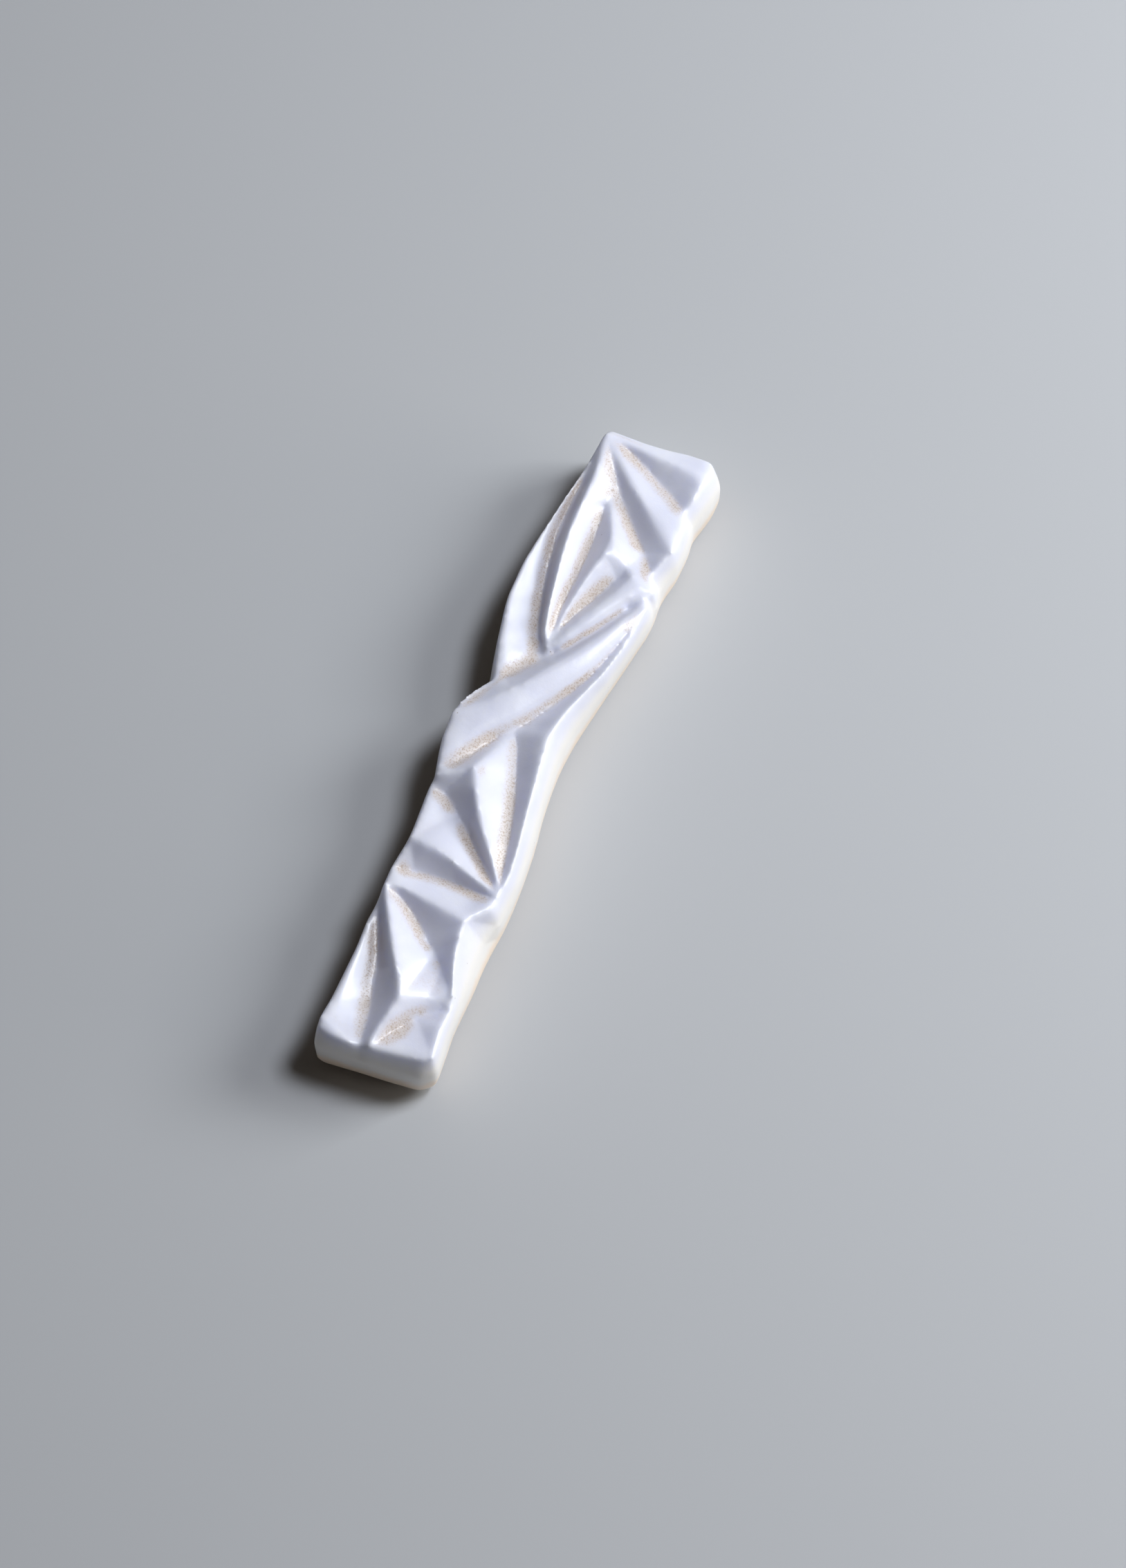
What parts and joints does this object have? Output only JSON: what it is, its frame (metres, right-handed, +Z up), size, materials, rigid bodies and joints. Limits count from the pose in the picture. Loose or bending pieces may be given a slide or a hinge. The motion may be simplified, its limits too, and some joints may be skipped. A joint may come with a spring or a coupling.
{
  "type": "mezuzah case",
  "caption": "Hand-modelled glazed ceramic mezuzah case with a twisting relief, a stoppered chamber for a rolled parchment, and peel-and-stick pads on its back.",
  "frame": {"origin": "middle of the case's box, on the plane that it lies on with its back down", "axes": "+Z up through the relief, +Y along the case to the end with the chamber's mouth, +X across the case"},
  "size_m": [0.0308, 0.1498, 0.0192],
  "materials": {
    "white_glaze": "semi-matte white glaze, thin and beige-speckled in the valleys",
    "silicone": "matte translucent silicone",
    "parchment": "cream animal-skin parchment, fine grain",
    "clear_film": "clear thin plastic film",
    "foam_tape": "white closed-cell foam",
    "release_paper": "silicone-coated release paper"
  },
  "bodies": {
    "case": {"case_body": "white_glaze", "tape_upper": "foam_tape", "tape_lower": "foam_tape"},
    "stopper": {"stopper": "silicone"},
    "scroll": {"parchment_scroll": "parchment", "scroll_sleeve": "clear_film"},
    "liner_upper": {"liner_upper": "release_paper"},
    "liner_lower": {"liner_lower": "release_paper"}
  },
  "joints": [
    {"name": "stopper_pull", "type": "slide", "parent": "case", "child": "stopper", "axis": [0, 1, 0], "range_m": [0, 0.125]},
    {"name": "scroll_draw", "type": "slide", "parent": "case", "child": "scroll", "axis": [0, 1, 0], "range_m": [0, 0.1125]},
    {"name": "liner_upper_peel", "type": "slide", "parent": "case", "child": "liner_upper", "axis": [1, 0, 0], "range_m": [0, 0.028]},
    {"name": "liner_lower_peel", "type": "slide", "parent": "case", "child": "liner_lower", "axis": [1, 0, 0], "range_m": [0, 0.028]}
  ],
  "couplings": [
    {"joint": "scroll_draw", "follows": "stopper_pull", "ratio": 0.9}
  ]
}
